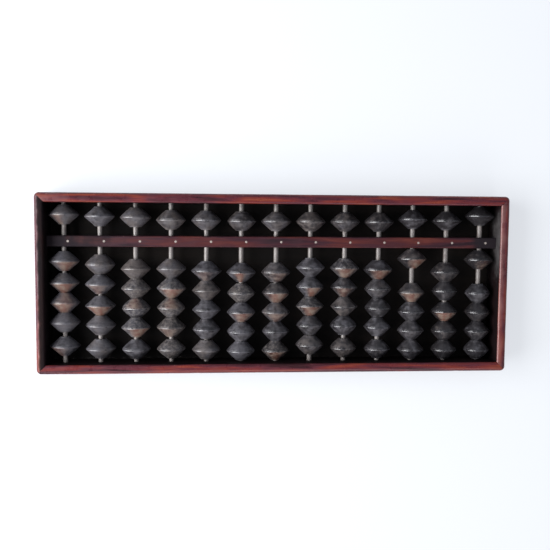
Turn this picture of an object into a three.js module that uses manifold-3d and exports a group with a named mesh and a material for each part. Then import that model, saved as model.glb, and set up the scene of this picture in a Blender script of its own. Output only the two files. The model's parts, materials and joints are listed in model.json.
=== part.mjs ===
import * as THREE from 'three';
import { mergeVertices } from 'three/addons/utils/BufferGeometryUtils.js';
import Module from 'manifold-3d';

// A thirteen-column counting frame: a mitred wooden tray with a back board, thirteen bamboo rods, and
// on each rod one bead above the reckoning beam and five below it. X runs along the columns, Y from
// the user's side (near) to the far side, Z up. The origin is the centre of the underside.
// All sizes are in millimetres.

// ---- Driving dimensions ----
const LENGTH = 312;
const DEPTH = 118;
const HEIGHT = 26;
const MEMBER_WIDTH = 6.4; // rails and stiles, seen from above
const CORNER_RADIUS = 2.4; // upright outer corners of the frame
const UPPER_DECK = 21.4; // far rail to beam, where the single beads run
const BEAM_WIDTH = 7.3;
const BEAM_TOP = 17.7;
const BEAM_THICKNESS = 8.4;
const COLUMN_COUNT = 13;
const COLUMN_PITCH = 23.2;
const ROD_RADIUS = 1.7;
const ROD_LEVEL = 13.5; // height of the rods' axes
const BEAD_RADIUS = 10.1;
const RIGHTWARD_LOSS = 1.1; // how much smaller the lower beads are by the last column, past the first row
const BEAD_HEIGHT = 13; // along the rod
const HUB_RADIUS = 3.7; // the flat round ends of a bead
const BORE_RADIUS = 2.05;
const BOARD_THICKNESS = 3;
const GAP = 0.3; // between fixed pieces that touch on the real frame

// ---- Smaller features ----
const OUTER_SHOULDER = 3.2; // rounding of a member's top edges
const INNER_SHOULDER = 1.5;
const FOOT_CHAMFER = 0.6;
const BEAM_SHOULDER = 1;
const REBATE_WIDTH = 3; // the step under the members that the board sits in
const REBATE_HEIGHT = BOARD_THICKNESS + GAP;
const ROD_SEAT = 4; // how far a rod goes into a rail
const ROD_HOLE_RADIUS = 2.05;
const TENON_LENGTH = 2.8;
const TENON_WIDTH = 4.2;
const TENON_HEIGHT = 5.4;
const RIM_WIDTH = 0.5; // the narrow band at a bead's widest
const ARC_STEPS = 5;
const HOLE_SIDES = 12;
const ROD_SIDES = 10;
const BEAD_SIDES = 16;
const OVERRUN = 1; // how far a cutter passes the face it opens

// ---- Where things come to ----
const INNER_HALF_LENGTH = LENGTH / 2 - MEMBER_WIDTH;
const FAR_STOP = DEPTH / 2 - MEMBER_WIDTH;
const BEAM_FAR_FACE = FAR_STOP - UPPER_DECK;
const BEAM_NEAR_FACE = BEAM_FAR_FACE - BEAM_WIDTH;
const BEAM_MIDDLE = BEAM_FAR_FACE - BEAM_WIDTH / 2;
const BEAM_LEVEL = BEAM_TOP - BEAM_THICKNESS / 2;

// How the beads stand at rest, from the leftmost column. `heaven` is the clear rod between the far rail
// and the upper bead. `earth` lists the lower beads from the beam down, in groups that stand together,
// each as [clear rod beyond the group, beads in it].
const COLUMNS = [
  { heaven: 1.3, earth: [[3.0, 1], [1.3, 3], [2.9, 1]] },
  { heaven: 2.4, earth: [[5.2, 2], [1.2, 2], [2.6, 1]] },
  { heaven: 2.9, earth: [[8.0, 4], [1.6, 1]] },
  { heaven: 4.4, earth: [[7.8, 4], [1.6, 1]] },
  { heaven: 4.5, earth: [[9.3, 4], [0.8, 1]] },
  { heaven: 4.9, earth: [[10.3, 1], [0.7, 4]] },
  { heaven: 5.0, earth: [[10.1, 1], [0.8, 4]] },
  { heaven: 4.9, earth: [[6.8, 4], [0.4, 1]] },
  { heaven: 4.8, earth: [[7.1, 4], [2.2, 1]] },
  { heaven: 4.9, earth: [[8.2, 4], [2.0, 1]] },
  { heaven: 3.0, earth: [[0.8, 1], [9.9, 4]] },
  { heaven: 3.7, earth: [[9.7, 2], [1.2, 3]] },
  { heaven: 0.4, earth: [[1.3, 1], [9.8, 4]] },
];

const wasm = await Module();
wasm.setup();

/** The closed solid that a three.js geometry encloses. */
function toSolid(geometry) {
  const bare = geometry.clone();
  bare.deleteAttribute('normal');
  bare.deleteAttribute('uv');
  const welded = mergeVertices(bare);
  const mesh = new wasm.Mesh({
    numProp: 3,
    vertProperties: new Float32Array(welded.attributes.position.array),
    triVerts: new Uint32Array(welded.index.array),
  });
  return new wasm.Manifold(mesh);
}

/** A three.js geometry of a solid's surface. */
function toGeometry(solid) {
  const { vertProperties, triVerts } = solid.getMesh();
  const geometry = new THREE.BufferGeometry();
  geometry.setAttribute('position', new THREE.BufferAttribute(vertProperties, 3));
  geometry.setIndex(new THREE.BufferAttribute(triVerts, 1));
  geometry.computeVertexNormals();
  return geometry;
}

/** The X of a column's rod, counting columns from 0 at the left. */
function columnX(column) {
  return (column - (COLUMN_COUNT - 1) / 2) * COLUMN_PITCH;
}

/** A section drawn in Y and Z, run along X and centred on the origin's YZ plane. */
function runAlongX(section, length) {
  const geometry = new THREE.ExtrudeGeometry(section, {
    depth: length,
    bevelEnabled: false,
    curveSegments: ARC_STEPS,
  });
  const toFrame = new THREE.Matrix4().makeBasis(
    new THREE.Vector3(0, 1, 0),
    new THREE.Vector3(0, 0, 1),
    new THREE.Vector3(1, 0, 0),
  );
  return geometry.applyMatrix4(toFrame).translate(-length / 2, 0, 0);
}

/** A frame member's section: y is the distance in from its outer face. */
function memberSection() {
  const section = new THREE.Shape();
  section.moveTo(FOOT_CHAMFER, 0);
  section.lineTo(MEMBER_WIDTH - REBATE_WIDTH, 0);
  section.lineTo(MEMBER_WIDTH - REBATE_WIDTH, REBATE_HEIGHT);
  section.lineTo(MEMBER_WIDTH, REBATE_HEIGHT);
  const inner = MEMBER_WIDTH - INNER_SHOULDER;
  section.absarc(inner, HEIGHT - INNER_SHOULDER, INNER_SHOULDER, 0, Math.PI / 2);
  section.absarc(OUTER_SHOULDER, HEIGHT - OUTER_SHOULDER, OUTER_SHOULDER, Math.PI / 2, Math.PI);
  section.lineTo(0, FOOT_CHAMFER);
  return section;
}

/** A member lying on the near side of a frame that is `span` across, its ends cut to 45 degrees. */
function mitredMember(length, span) {
  const geometry = runAlongX(memberSection(), length);
  const point = geometry.attributes.position;
  const endGap = GAP / Math.SQRT2;
  for (let i = 0; i < point.count; i += 1) {
    const cutBack = point.getY(i) + endGap;
    point.setX(i, Math.sign(point.getX(i)) * (length / 2 - cutBack));
  }
  return geometry.translate(0, -span / 2, 0);
}

/** The whole frame's plan with its four rounded corners, as a block taller than the frame. */
function roundedPlan() {
  const x = LENGTH / 2 - CORNER_RADIUS;
  const y = DEPTH / 2 - CORNER_RADIUS;
  const corners = [[x, y], [-x, y], [-x, -y], [x, -y]];
  const plan = new THREE.Shape();
  corners.forEach(([cx, cy], turn) => {
    plan.absarc(cx, cy, CORNER_RADIUS, (turn * Math.PI) / 2, ((turn + 1) * Math.PI) / 2);
  });
  const block = new THREE.ExtrudeGeometry(plan, {
    depth: HEIGHT + 2 * OVERRUN,
    bevelEnabled: false,
    curveSegments: ARC_STEPS,
  });
  return toSolid(block.translate(0, 0, -OVERRUN));
}

/** One member turned into its place, with its outer corners rounded. */
function placedMember(length, span, turn) {
  const member = mitredMember(length, span).rotateZ((turn * Math.PI) / 2);
  return toSolid(member).intersect(roundedPlan());
}

/** Cutters for thirteen round holes along Y, centred on `middle` and `length` long. */
function rodHoles(middle, length) {
  return Array.from({ length: COLUMN_COUNT }, (_, column) => {
    const cutter = new THREE.CylinderGeometry(ROD_HOLE_RADIUS, ROD_HOLE_RADIUS, length, HOLE_SIDES);
    return toSolid(cutter.translate(columnX(column), middle, ROD_LEVEL));
  });
}

/** A rail with its blind rod holes. `side` is 1 for the far rail and -1 for the near one. */
function rail(side) {
  const turn = side > 0 ? 2 : 0;
  const length = ROD_SEAT + OVERRUN;
  const middle = side * (FAR_STOP + ROD_SEAT - length / 2);
  const holes = rodHoles(middle, length);
  const solid = holes.reduce((body, hole) => body.subtract(hole), placedMember(LENGTH, DEPTH, turn));
  return toGeometry(solid);
}

/** A stile with the mortise for the beam's tenon. `side` is 1 for the right and -1 for the left. */
function stile(side) {
  const turn = side > 0 ? 1 : 3;
  const depth = TENON_LENGTH + GAP + OVERRUN;
  const mortise = new THREE.BoxGeometry(depth, TENON_WIDTH + 2 * GAP, TENON_HEIGHT + 2 * GAP);
  const x = side * (INNER_HALF_LENGTH + TENON_LENGTH + GAP - depth / 2);
  const cutter = toSolid(mortise.translate(x, BEAM_MIDDLE, BEAM_LEVEL));
  return toGeometry(placedMember(DEPTH, LENGTH, turn).subtract(cutter));
}

/** The reckoning beam: rounded along its top edges, a tenon at each end, thirteen holes through it. */
function reckoningBeam() {
  const bottom = BEAM_TOP - BEAM_THICKNESS;
  const section = new THREE.Shape();
  section.moveTo(BEAM_NEAR_FACE, bottom);
  section.lineTo(BEAM_FAR_FACE, bottom);
  const level = BEAM_TOP - BEAM_SHOULDER;
  section.absarc(BEAM_FAR_FACE - BEAM_SHOULDER, level, BEAM_SHOULDER, 0, Math.PI / 2);
  section.absarc(BEAM_NEAR_FACE + BEAM_SHOULDER, level, BEAM_SHOULDER, Math.PI / 2, Math.PI);
  const bar = toSolid(runAlongX(section, 2 * (INNER_HALF_LENGTH - GAP)));
  const tenons = new THREE.BoxGeometry(
    2 * (INNER_HALF_LENGTH + TENON_LENGTH),
    TENON_WIDTH,
    TENON_HEIGHT,
  );
  const body = bar.add(toSolid(tenons.translate(0, BEAM_MIDDLE, BEAM_LEVEL)));
  const holes = rodHoles(BEAM_MIDDLE, BEAM_WIDTH + 2 * OVERRUN);
  return toGeometry(holes.reduce((solid, hole) => solid.subtract(hole), body));
}

/** The thin board that closes the underside, flush in its rebate. */
function backBoard() {
  const inFromOuter = MEMBER_WIDTH - REBATE_WIDTH + GAP;
  return new THREE.BoxGeometry(
    LENGTH - 2 * inFromOuter,
    DEPTH - 2 * inFromOuter,
    BOARD_THICKNESS,
  ).translate(0, 0, BOARD_THICKNESS / 2);
}

/** A bamboo rod from the bottom of one rail's hole to the other's. */
function rod() {
  const length = 2 * (FAR_STOP + ROD_SEAT - GAP);
  return new THREE.CylinderGeometry(ROD_RADIUS, ROD_RADIUS, length, ROD_SIDES);
}

/** A bead's radius. `number` is 0 beyond the beam, and 1 to 5 from the beam towards the user. */
function beadRadius(column, number) {
  const rightward = column / (COLUMN_COUNT - 1);
  return number > 1 ? BEAD_RADIUS - RIGHTWARD_LOSS * rightward : BEAD_RADIUS;
}

/**
 * Turned beads standing together on one bore, each two cones that meet in a narrow rim. `first` and
 * `last` are the numbers of the farthest bead and the nearest.
 */
function beads(column, first, last) {
  const foot = (-(last - first + 1) * BEAD_HEIGHT) / 2;
  const profile = [new THREE.Vector2(BORE_RADIUS, foot)];
  for (let number = last; number >= first; number -= 1) {
    const middle = foot + (last - number + 0.5) * BEAD_HEIGHT;
    const radius = beadRadius(column, number);
    profile.push(
      new THREE.Vector2(HUB_RADIUS, middle - BEAD_HEIGHT / 2),
      new THREE.Vector2(radius, middle - RIM_WIDTH / 2),
      new THREE.Vector2(radius, middle + RIM_WIDTH / 2),
    );
  }
  profile.push(
    new THREE.Vector2(HUB_RADIUS, -foot),
    new THREE.Vector2(BORE_RADIUS, -foot),
    profile[0].clone(),
  );
  return new THREE.LatheGeometry(profile, BEAD_SIDES);
}

const lacqueredWood = new THREE.MeshStandardMaterial({ color: 0x54211c, roughness: 0.35 });
const beamWood = new THREE.MeshStandardMaterial({ color: 0x4a2424, roughness: 0.45 });
const boardWood = new THREE.MeshStandardMaterial({ color: 0x1a1614, roughness: 0.8 });
const bamboo = new THREE.MeshStandardMaterial({ color: 0xa49a90, roughness: 0.5 });
const beadWood = new THREE.MeshStandardMaterial({ color: 0x34302f, roughness: 0.45 });

const abacus = new THREE.Group();

/** Adds a named piece at a place in the frame. */
function addPiece(name, geometry, material, x = 0, y = 0, z = 0) {
  const piece = new THREE.Mesh(geometry, material);
  piece.name = name;
  piece.position.set(x, y, z);
  abacus.add(piece);
}

/** Two digits, so that names sort from the left column to the right. */
function twoDigits(number) {
  return String(number).padStart(2, '0');
}

/** Adds a column's rod and its beads, from the far rail towards the user. */
function addColumn({ heaven, earth }, column) {
  const x = columnX(column);
  const label = twoDigits(column + 1);
  addPiece(`rod_${label}`, rod(), bamboo, x, 0, ROD_LEVEL);
  const heavenY = FAR_STOP - heaven - BEAD_HEIGHT / 2;
  addPiece(`heaven_bead_${label}`, beads(column, 0, 0), beadWood, x, heavenY, ROD_LEVEL);
  let edge = BEAM_NEAR_FACE;
  let first = 1;
  for (const [clear, count] of earth) {
    const height = count * BEAD_HEIGHT;
    const last = first + count - 1;
    const name = count === 1 ? `earth_bead_${label}_${first}` : `earth_beads_${label}_${first}to${last}`;
    addPiece(name, beads(column, first, last), beadWood, x, edge - clear - height / 2, ROD_LEVEL);
    edge -= clear + height;
    first = last + 1;
  }
}

addPiece('far_rail', rail(1), lacqueredWood);
addPiece('near_rail', rail(-1), lacqueredWood);
addPiece('left_stile', stile(-1), lacqueredWood);
addPiece('right_stile', stile(1), lacqueredWood);
addPiece('reckoning_beam', reckoningBeam(), beamWood);
addPiece('back_board', backBoard(), boardWood);
COLUMNS.forEach(addColumn);

export default abacus;
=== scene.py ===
"""An old thirteen-column counting frame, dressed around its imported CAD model.

Each class rebuilds one sub-assembly with finer edges, wear and finish, in metres, where the CAD
nodes stand: the mitred frame, the reckoning beam with its unit dots, the back board with its pins,
the bamboo rods, and the 78 turned beads, which ride on the sliding CAD bodies.
"""

from __future__ import annotations

import json
import logging
import math
import random
from dataclasses import dataclass
from enum import Enum

import bmesh
import bpy
from mathutils import Euler, Matrix, Vector, noise

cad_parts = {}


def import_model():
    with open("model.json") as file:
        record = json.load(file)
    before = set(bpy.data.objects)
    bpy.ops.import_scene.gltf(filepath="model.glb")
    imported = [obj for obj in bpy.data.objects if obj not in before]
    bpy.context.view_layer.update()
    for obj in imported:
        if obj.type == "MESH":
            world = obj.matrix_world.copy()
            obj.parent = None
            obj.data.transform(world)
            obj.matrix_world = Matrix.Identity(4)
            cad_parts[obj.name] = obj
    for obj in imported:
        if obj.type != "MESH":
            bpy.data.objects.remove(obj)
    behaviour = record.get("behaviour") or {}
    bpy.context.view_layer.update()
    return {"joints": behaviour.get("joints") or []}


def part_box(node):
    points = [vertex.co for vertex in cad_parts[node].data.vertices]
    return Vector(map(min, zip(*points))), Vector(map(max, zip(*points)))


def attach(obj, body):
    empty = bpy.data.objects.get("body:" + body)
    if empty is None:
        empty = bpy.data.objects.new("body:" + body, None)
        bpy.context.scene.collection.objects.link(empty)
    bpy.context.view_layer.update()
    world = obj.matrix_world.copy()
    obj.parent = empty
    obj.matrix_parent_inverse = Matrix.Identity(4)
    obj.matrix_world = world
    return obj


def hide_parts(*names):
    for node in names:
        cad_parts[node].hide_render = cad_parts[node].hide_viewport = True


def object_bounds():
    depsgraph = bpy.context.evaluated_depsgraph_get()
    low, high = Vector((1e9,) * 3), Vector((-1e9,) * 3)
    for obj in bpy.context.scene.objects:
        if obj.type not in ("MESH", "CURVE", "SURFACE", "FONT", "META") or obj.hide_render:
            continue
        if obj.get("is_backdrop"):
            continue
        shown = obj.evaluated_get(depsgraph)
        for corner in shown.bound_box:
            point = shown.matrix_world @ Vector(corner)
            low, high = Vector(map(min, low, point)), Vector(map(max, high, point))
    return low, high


LOG = logging.getLogger("abacus")
MM = 0.001
SMOOTH_LIMIT = math.radians(32)
COLUMN_COUNT = 13
Colour = tuple[float, float, float]


class Grain(Enum):
    """How a pattern is stretched so that wood fibres run along one direction of the frame."""

    ALONG_X = (0.09, 1.0, 1.0)
    ALONG_Y = (1.0, 0.09, 1.0)


class Cone(Enum):
    """Which of a bead's two cones a worn patch lies on."""

    FAR = 1
    NEAR = -1


# ---------------------------------------------------------------------------------------------
# Shader nodes
# ---------------------------------------------------------------------------------------------


class FinishSheet:
    """A material and short calls for the nodes that a finish is made of."""

    def __init__(self, name: str) -> None:
        """Starts a material with a Principled shader.

        Args:
            name: The material's name.
        """
        self.material = bpy.data.materials.new(name)
        self.material.use_nodes = True
        self.tree = self.material.node_tree
        self.shader = self.tree.nodes["Principled BSDF"]

    def node(self, kind: str, **settings: object) -> bpy.types.Node:
        """Adds a node and sets its properties.

        Args:
            kind: The node's type name, less its ShaderNode prefix.
            **settings: Properties of the node.

        Returns:
            The node.
        """
        made = self.tree.nodes.new("ShaderNode" + kind)
        for key, value in settings.items():
            setattr(made, key, value)
        return made

    def feed(self, socket: bpy.types.NodeSocket, value: object) -> None:
        """Links a socket to an output, or sets it to a plain value.

        Args:
            socket: The input.
            value: An output socket, a number or a colour.
        """
        if isinstance(value, bpy.types.NodeSocket):
            self.tree.links.new(value, socket)
        else:
            socket.default_value = value

    def place(self, stretch: tuple[float, float, float]) -> bpy.types.NodeSocket:
        """Object coordinates in millimetres, stretched along each axis.

        Args:
            stretch: Factors for X, Y and Z; a small one draws the pattern out along its axis.

        Returns:
            The vector output.
        """
        mapping = self.node("Mapping")
        mapping.inputs["Scale"].default_value = [factor / MM for factor in stretch]
        self.feed(mapping.inputs["Vector"], self.node("TexCoord").outputs["Object"])
        return mapping.outputs["Vector"]

    def noise(
        self,
        vector: bpy.types.NodeSocket,
        size: float,
        detail: float = 4.0,
        roughness: float = 0.55,
        distortion: float = 0.0,
    ) -> bpy.types.NodeSocket:
        """A cloud pattern.

        Args:
            vector: Where to read it, in millimetres.
            size: The width of its clouds, in millimetres.
            detail: How many finer layers it has.
            roughness: How strong the finer layers are.
            distortion: How much it is stirred.

        Returns:
            Its value, about 0.5 on average.
        """
        made = self.node("TexNoise")
        self.feed(made.inputs["Vector"], vector)
        made.inputs["Scale"].default_value = 1.0 / size
        made.inputs["Detail"].default_value = detail
        made.inputs["Roughness"].default_value = roughness
        made.inputs["Distortion"].default_value = distortion
        return made.outputs["Fac"]

    def attribute(self, name: str) -> bpy.types.NodeSocket:
        """The value of a mesh attribute."""
        return self.node("Attribute", attribute_name=name).outputs["Fac"]

    def maths(self, operation: str, first: object, second: object = 0.0) -> bpy.types.NodeSocket:
        """One sum on two values, not clamped.

        Args:
            operation: Blender's name for the sum.
            first: A number or an output.
            second: A number or an output.

        Returns:
            The result's output.
        """
        made = self.node("Math", operation=operation)
        self.feed(made.inputs[0], first)
        self.feed(made.inputs[1], second)
        return made.outputs[0]

    def span(self, value: object, low: float, high: float, to: tuple = (0.0, 1.0)) -> object:
        """Maps a value smoothly from one span to another, clamped at both ends.

        Args:
            value: A number or an output.
            low: Where the mapping starts.
            high: Where it ends.
            to: What it gives at the start and at the end.

        Returns:
            The result's output.
        """
        made = self.node("MapRange", interpolation_type="SMOOTHSTEP")
        self.feed(made.inputs["Value"], value)
        made.inputs["From Min"].default_value = low
        made.inputs["From Max"].default_value = high
        made.inputs["To Min"].default_value = to[0]
        made.inputs["To Max"].default_value = to[1]
        return made.outputs["Result"]

    def mix(self, share: object, first: object, second: object, mode: str = "MIX") -> object:
        """Mixes two colours.

        Args:
            share: How much of the second one shows.
            first: A colour or a colour output.
            second: A colour or a colour output.
            mode: Blender's name for the way to mix.

        Returns:
            The colour output.
        """
        made = self.node("Mix", data_type="RGBA", blend_type=mode)
        self.feed(made.inputs["Factor"], share)
        for socket, value in ((made.inputs[6], first), (made.inputs[7], second)):
            self.feed(socket, (*value, 1.0) if isinstance(value, tuple) else value)
        return made.outputs[2]

    def ramp(self, value: object, *stops: tuple[float, Colour]) -> bpy.types.NodeSocket:
        """A colour for each value.

        Args:
            value: The value's output.
            *stops: Positions from 0 to 1, each with its colour.

        Returns:
            The colour output.
        """
        made = self.node("ValToRGB")
        elements = made.color_ramp.elements
        while len(elements) < len(stops):
            elements.new(0.5)
        for element, (position, colour) in zip(elements, stops):
            element.position = position
            element.color = (*colour, 1.0)
        self.feed(made.inputs["Fac"], value)
        return made.outputs["Color"]

    def grey(self, value: bpy.types.NodeSocket) -> bpy.types.NodeSocket:
        """Makes a grey.

        Args:
            value: Its strength, which may pass 1.

        Returns:
            The colour output.
        """
        made = self.node("CombineColor")
        for socket in made.inputs:
            self.feed(socket, value)
        return made.outputs["Color"]

    def bump(self, height: object, depth: float, below: object = None) -> bpy.types.NodeSocket:
        """Fine relief.

        Args:
            height: The relief's pattern, from 0 to 1.
            depth: How deep it is, in millimetres.
            below: A normal to lay it on.

        Returns:
            The normal output.
        """
        made = self.node("Bump")
        made.inputs["Strength"].default_value = 1.0
        made.inputs["Distance"].default_value = depth * MM
        self.feed(made.inputs["Height"], height)
        if below is not None:
            self.feed(made.inputs["Normal"], below)
        return made.outputs["Normal"]

    def finish(self, **sockets: object) -> bpy.types.Material:
        """Feeds the shader's sockets and returns the material.

        Args:
            **sockets: Socket names with _ for each space.

        Returns:
            The material.
        """
        for name, value in sockets.items():
            self.feed(self.shader.inputs[name.replace("_", " ")], value)
        return self.material


# ---------------------------------------------------------------------------------------------
# Finishes
# ---------------------------------------------------------------------------------------------


@dataclass(frozen=True)
class LacqueredWood:
    """Red-brown lacquer on a hard wood, rubbed pale along its edges and stained with dirt where hands don't
    reach; its dark mask also carries painted shade, and its pale mask a painted sheen.
    """

    name: str
    dark: Colour = (0.030, 0.0075, 0.010)
    plum: Colour = (0.080, 0.019, 0.027)
    red: Colour = (0.125, 0.022, 0.019)
    amber: Colour = (0.20, 0.052, 0.026)
    scuffed: Colour = (0.25, 0.14, 0.12)
    # A very dark colour for dirt and for painted shade.
    grime_and_shade_dark: Colour = (0.0065, 0.0052, 0.0058)
    # A pale grey for dust, partly painted light on the upper halves of inner faces.
    dust_and_light_grey: Colour = (0.070, 0.066, 0.066)
    roughness: tuple[float, float] = (0.24, 0.42)
    shine: float = 0.34
    rubbing: float = 0.30

    def build(self, grain: Grain) -> bpy.types.Material:
        """Makes the material for pieces whose fibres run along one axis.

        Args:
            grain: The direction of the fibres.

        Returns:
            The material.
        """
        sheet = FinishSheet(f"{self.name}_{grain.name.lower()}")
        along = sheet.place(grain.value)
        even = sheet.place((1.0, 1.0, 1.0))
        # The wood through its lacquer: long clouds of colour, with fine fibres.
        clouds = sheet.noise(along, 3.4, detail=3.0, distortion=0.4)
        fibres = sheet.noise(along, 0.55, detail=5.0, roughness=0.6)
        body = sheet.ramp(
            clouds, (0.32, self.dark), (0.45, self.plum), (0.56, self.red), (0.70, self.amber)
        )
        body = sheet.mix(1.0, body, sheet.grey(sheet.span(fibres, 0.35, 0.7, (0.84, 1.08))), "MULTIPLY")
        # Scuffs, mostly along the exposed edges, and a smooth pale layer: a painted sheen, and a paler end
        # on the far rail.
        spots = sheet.noise(even, 2.2, detail=6.0, roughness=0.7)
        rubbed = sheet.maths("MULTIPLY", sheet.attribute("edge"), self.rubbing)
        colour = sheet.mix(sheet.span(sheet.maths("ADD", rubbed, spots), 0.74, 0.98), body, self.scuffed)
        patches = sheet.noise(even, 9.0, detail=5.0, roughness=0.6)
        uneven = sheet.maths("MULTIPLY", sheet.maths("SUBTRACT", patches, 0.5), 0.9)
        sheen_and_pale_share = sheet.span(sheet.maths("ADD", sheet.attribute("sheen_and_pale_end"), uneven), 0.1, 1.1, (0.0, 0.6))
        colour = sheet.mix(sheen_and_pale_share, colour, self.scuffed)
        # Dirt where hands don't reach, painted shade on the frame's inner faces and the left stile's inner
        # top, a darker colour towards the beam's ends and over its left third, and the dust that has
        # settled on it.
        grime_and_shade_share = sheet.span(sheet.maths("ADD", sheet.attribute("grime"), uneven), 0.10, 0.85)
        colour = sheet.mix(sheet.maths("MULTIPLY", grime_and_shade_share, 0.97), colour, self.grime_and_shade_dark)
        cloudy = sheet.maths("MULTIPLY", sheet.maths("ADD", patches, spots), 0.5)
        settled = sheet.maths("ADD", sheet.maths("MULTIPLY", sheet.attribute("dust"), 0.45), cloudy)
        colour = sheet.mix(sheet.span(settled, 0.58, 1.1), colour, self.dust_and_light_grey)
        roughness = sheet.span(patches, 0.35, 0.7, self.roughness)
        roughness = sheet.maths("ADD", roughness, sheet.maths("MULTIPLY", grime_and_shade_share, 0.2))
        shine = sheet.span(grime_and_shade_share, 0.0, 1.0, (self.shine, 0.08))
        relief = sheet.bump(fibres, 0.03, sheet.bump(spots, 0.06))
        return sheet.finish(
            Base_Color=colour, Roughness=roughness, Specular_IOR_Level=shine, Normal=relief
        )


@dataclass(frozen=True)
class BeadWood:
    """Dark turned wood, polished by fingers, pitted here and there and worn to bare wood in patches;
    painted light pales its stain on the left columns and darkens it on the right.
    """

    name: str = "bead_wood"
    charcoal: Colour = (0.023, 0.021, 0.023)
    slate: Colour = (0.085, 0.081, 0.090)
    umber: Colour = (0.087, 0.074, 0.070)
    russet: Colour = (0.140, 0.068, 0.051)
    tan: Colour = (0.165, 0.120, 0.095)
    speck: Colour = (0.15, 0.135, 0.125)
    roughness: tuple[float, float] = (0.30, 0.50)
    polish: float = 0.14

    def build(self) -> bpy.types.Material:
        """Makes the one material that all the beads share.

        Returns:
            The material, which reads the attributes that a turned bead carries.
        """
        sheet = FinishSheet(self.name)
        even = sheet.place((1.0, 1.0, 1.0))
        rings = sheet.noise(sheet.place((0.12, 1.0, 0.12)), 0.80, detail=4.0, roughness=0.65)
        grain = sheet.noise(sheet.place((0.4, 1.0, 1.0)), 0.6, detail=6.0, roughness=0.65)
        clouds = sheet.noise(even, 3.4, detail=5.0, roughness=0.62)
        blotches = sheet.noise(even, 1.5, detail=5.0, roughness=0.65, distortion=0.5)
        tone, pitted = sheet.attribute("tone"), sheet.attribute("pitted")
        # The dark stain, clouded and lined by the turning, paled by painted light on the left columns and
        # darkened on the right.
        hue = sheet.maths("ADD", sheet.attribute("warmth"), sheet.noise(even, 6.0, detail=2.0))
        pale = sheet.mix(sheet.span(hue, 0.3, 0.85), self.slate, self.umber)
        shade = sheet.maths("ADD", clouds, sheet.maths("MULTIPLY", tone, 0.24))
        body = sheet.mix(sheet.span(shade, 0.38, 0.73), self.charcoal, pale)
        lined = sheet.maths(
            "ADD", sheet.maths("MULTIPLY", rings, 0.5), sheet.maths("MULTIPLY", grain, 0.5)
        )
        body = sheet.mix(1.0, body, sheet.grey(sheet.span(lined, 0.38, 0.64, (0.66, 1.22))), "MULTIPLY")
        # Pale raised specks and dark pits.
        rough_spots = sheet.maths("ADD", blotches, sheet.maths("MULTIPLY", pitted, 0.14))
        body = sheet.mix(sheet.span(rough_spots, 0.62, 0.78, (0.0, 0.7)), body, self.speck)
        hollows = sheet.maths("SUBTRACT", blotches, sheet.maths("MULTIPLY", pitted, 0.10))
        body = sheet.mix(sheet.span(hollows, 0.28, 0.42, (0.8, 0.0)), body, self.charcoal)
        # Bare wood with a ragged edge, where the stain is worn through.
        wood = sheet.mix(sheet.span(clouds, 0.40, 0.60), self.russet, self.tan)
        ragged = sheet.maths("ADD", grain, sheet.maths("MULTIPLY", clouds, 2.0))
        ragged = sheet.maths("MULTIPLY", ragged, 0.5)
        worn = sheet.span(sheet.maths("ADD", sheet.attribute("bare"), ragged), 0.85, 1.65, (0.0, 0.88))
        colour = sheet.mix(worn, body, wood)
        # A dull body with a finger-polished rim.
        dull = sheet.maths("ADD", clouds, sheet.maths("MULTIPLY", tone, 0.2))
        dull = sheet.span(dull, 0.36, 0.7, self.roughness)
        rim = sheet.span(sheet.attribute("rim"), 0.5, 0.9)
        gloss = sheet.maths("SUBTRACT", dull, sheet.maths("MULTIPLY", rim, self.polish))
        shine = sheet.span(rim, 0.0, 1.0, (0.58, 0.72))
        relief = sheet.bump(rings, 0.06, sheet.bump(grain, 0.11, sheet.bump(blotches, 0.24)))
        return sheet.finish(Base_Color=colour, Roughness=gloss, Specular_IOR_Level=shine, Normal=relief)


@dataclass(frozen=True)
class Bamboo:
    """Pale split bamboo, greyed by handling, with fine fibres along the rod."""

    name: str = "bamboo"
    pale: Colour = (0.180, 0.160, 0.150)
    grey: Colour = (0.115, 0.103, 0.098)
    stain: Colour = (0.075, 0.055, 0.05)

    def build(self) -> bpy.types.Material:
        """Makes the rods' material.

        Returns:
            The material.
        """
        sheet = FinishSheet(self.name)
        along = sheet.place((1.0, 0.05, 1.0))
        even = sheet.place((1.0, 1.0, 1.0))
        fibres = sheet.noise(along, 0.32, detail=5.0, roughness=0.6)
        clouds = sheet.noise(even, 7.0, detail=4.0)
        colour = sheet.mix(sheet.span(fibres, 0.38, 0.66), self.pale, self.grey)
        colour = sheet.mix(sheet.span(clouds, 0.52, 0.74, (0.0, 0.7)), colour, self.stain)
        roughness = sheet.span(clouds, 0.3, 0.7, (0.34, 0.52))
        return sheet.finish(Base_Color=colour, Roughness=roughness, Normal=sheet.bump(fibres, 0.03))


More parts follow.
